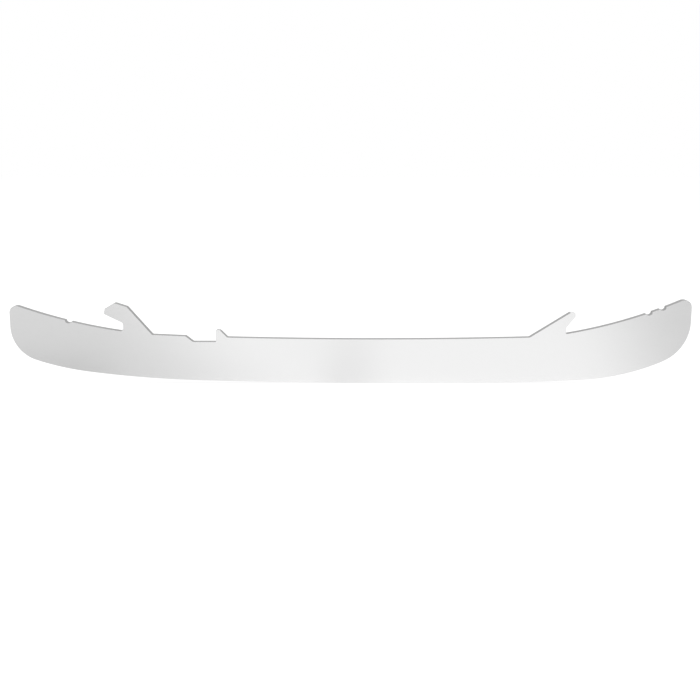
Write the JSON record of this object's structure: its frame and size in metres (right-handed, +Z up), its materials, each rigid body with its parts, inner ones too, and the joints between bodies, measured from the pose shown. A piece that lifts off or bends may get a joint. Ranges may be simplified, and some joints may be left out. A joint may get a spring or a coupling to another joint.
{
  "type": "hockey skate blade",
  "caption": "Flat steel runner of an ice hockey skate: rockered, hollow-ground running edge below, front and rear locking hooks, a latch tooth and locating nicks on its top edge.",
  "frame": {"origin": "middle of the length and of the thickness, at the lowest point of the running edge", "axes": "+X along the blade from toe to heel, +Y across the steel, +Z up from the running edge to the hooks"},
  "size_m": [0.272, 0.0028, 0.0339],
  "materials": {
    "steel": "bright polished sides, plain cut top edge, ground running edge"
  },
  "bodies": {
    "root": {"runner": "steel"}
  },
  "joints": []
}
